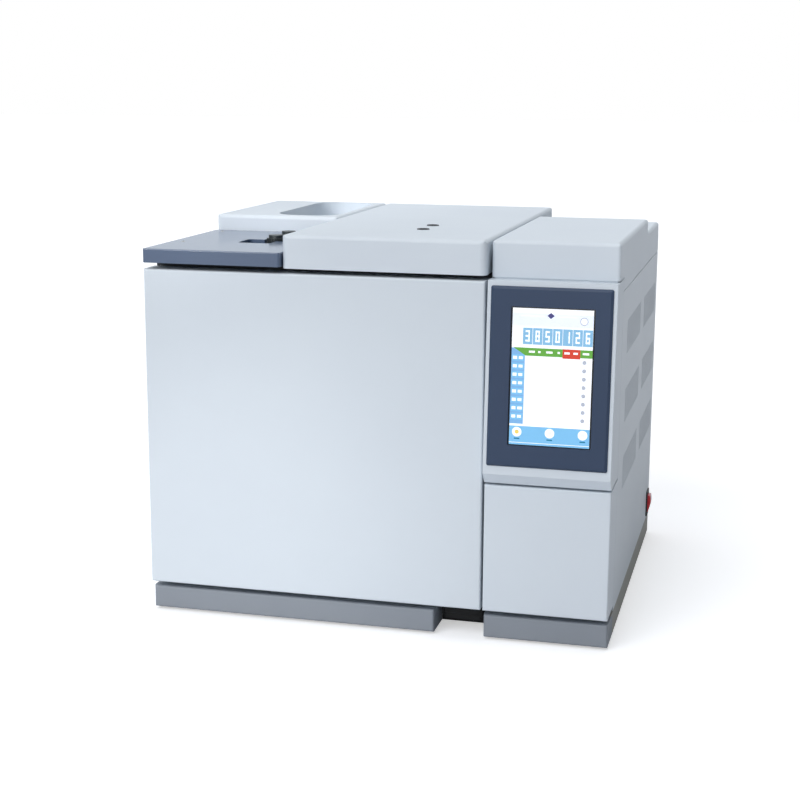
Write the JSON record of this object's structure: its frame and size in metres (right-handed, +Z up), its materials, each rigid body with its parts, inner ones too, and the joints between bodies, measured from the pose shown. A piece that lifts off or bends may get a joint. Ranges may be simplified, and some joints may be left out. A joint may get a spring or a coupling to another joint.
{
  "type": "gas chromatograph",
  "caption": "Bench gas chromatograph: column oven behind a hinged door, control column with a tilted touch screen beside it, inlet well and hinged detector lid on top.",
  "frame": {"origin": "on the bench, under the middle of the instrument's outline with the door and lid closed", "axes": "+Z up, the front with the oven door and the screen faces -Y, +X to the right seen from the front"},
  "size_m": [0.6074, 0.5732, 0.503],
  "materials": {
    "cabinet_paint": "satin",
    "cover_plastic": "satin",
    "deck_slate": "satin",
    "plinth_grey": "matte",
    "navy_plastic": "satin",
    "black_plastic": "matte",
    "red_plastic": "gloss",
    "dark_steel": "matte",
    "zinc_steel": "satin",
    "stainless": "satin",
    "black_iron": "matte",
    "aluminium": "satin",
    "brass": "satin",
    "mineral_wool": "matte",
    "silicone": "matte",
    "black_rubber": "matte",
    "board_green": "satin",
    "screen_glass": "gloss",
    "ferrite": "matte",
    "heater_alloy": "matte"
  },
  "bodies": {
    "cabinet": {"base_pan": "cabinet_paint", "feet": "black_rubber", "front_plinths": "plinth_grey", "front_frame": "dark_steel", "left_side_panel": "cabinet_paint", "right_side_panel": "cabinet_paint", "rear_panel": "cabinet_paint", "centre_divider": "zinc_steel", "top_plate": "dark_steel", "oven_shell": "zinc_steel", "oven_insulation": "mineral_wool", "oven_liner": "stainless", "fan_shroud": "stainless", "heater_coil": "heater_alloy", "fan_motor": "black_iron", "column_hanger": "stainless", "packed_column": "stainless", "column_nuts": "brass", "injection_ports": "stainless", "septum_nuts": "stainless", "detectors": "stainless", "inlet_deck": "deck_slate", "rear_left_cover": "cover_plastic", "lid_hinges": "dark_steel", "lid_bumpers": "black_rubber", "column_cover": "cover_plastic", "screen_housing": "cover_plastic", "screen_bezel": "navy_plastic", "touch_screen": "screen_glass", "display_module": "dark_steel", "lower_front_panel": "cover_plastic", "main_board": "board_green", "power_supply": "aluminium", "flow_shelf": "zinc_steel", "flow_module": "aluminium", "gas_tubes": "stainless", "gas_fittings": "brass", "mains_inlet": "black_plastic", "data_sockets": "black_plastic", "switch_frame": "black_plastic", "cooling_fan_frame": "black_plastic", "vent_ducts": "zinc_steel", "vent_motors": "black_iron", "door_hinges": "zinc_steel", "latch_bracket": "zinc_steel", "door_magnets": "ferrite"},
    "oven_door": {"door_panel": "cabinet_paint", "door_insulation": "mineral_wool", "door_liner": "stainless", "door_gasket": "silicone", "door_hinge_blocks": "zinc_steel", "door_strikes": "zinc_steel"},
    "detector_lid": {"detector_lid": "cover_plastic"},
    "oven_fan": {"oven_fan": "stainless", "fan_shaft": "zinc_steel"},
    "exhaust_flap": {"exhaust_flap": "zinc_steel"},
    "intake_flap": {"intake_flap": "zinc_steel"},
    "release_lever": {"release_lever": "black_plastic"},
    "power_rocker": {"power_rocker": "red_plastic"},
    "cooling_rotor": {"cooling_rotor": "black_plastic"}
  },
  "joints": [
    {"name": "oven_door_hinge", "type": "hinge", "parent": "cabinet", "child": "oven_door", "pos_m": [-0.29617, -0.24035, 0.247], "axis": [0, 0, -1], "range_deg": [0, 110]},
    {"name": "detector_lid_hinge", "type": "hinge", "parent": "cabinet", "child": "detector_lid", "pos_m": [0.00833, 0.24765, 0.47], "axis": [-1, 0, 0], "range_deg": [0, 70]},
    {"name": "oven_fan_spin", "type": "hinge", "parent": "cabinet", "child": "oven_fan", "pos_m": [-0.07952, -0.03035, 0.23225], "axis": [0, 1, 0], "continuous": true},
    {"name": "exhaust_flap_turn", "type": "hinge", "parent": "cabinet", "child": "exhaust_flap", "pos_m": [0.04413, 0.24565, 0.3675], "axis": [1, 0, 0], "range_deg": [0, 60]},
    {"name": "intake_flap_turn", "type": "hinge", "parent": "cabinet", "child": "intake_flap", "pos_m": [-0.20317, 0.24565, 0.155], "axis": [1, 0, 0], "range_deg": [0, 60]},
    {"name": "release_lever_turn", "type": "hinge", "parent": "cabinet", "child": "release_lever", "pos_m": [0.10833, -0.23335, 0.026], "axis": [-1, 0, 0], "range_deg": [0, 18], "stiffness_Nm_per_rad": 0.05, "springref_deg": -5.73},
    {"name": "power_rocker_turn", "type": "hinge", "parent": "cabinet", "child": "power_rocker", "pos_m": [0.29433, 0.24065, 0.056], "axis": [0, -1, 0], "range_deg": [0, 16]},
    {"name": "cooling_rotor_spin", "type": "hinge", "parent": "cabinet", "child": "cooling_rotor", "pos_m": [0.21973, 0.25465, 0.333], "axis": [0, 1, 0], "continuous": true}
  ],
  "couplings": [
    {"joint": "intake_flap_turn", "follows": "exhaust_flap_turn", "ratio": 1}
  ]
}
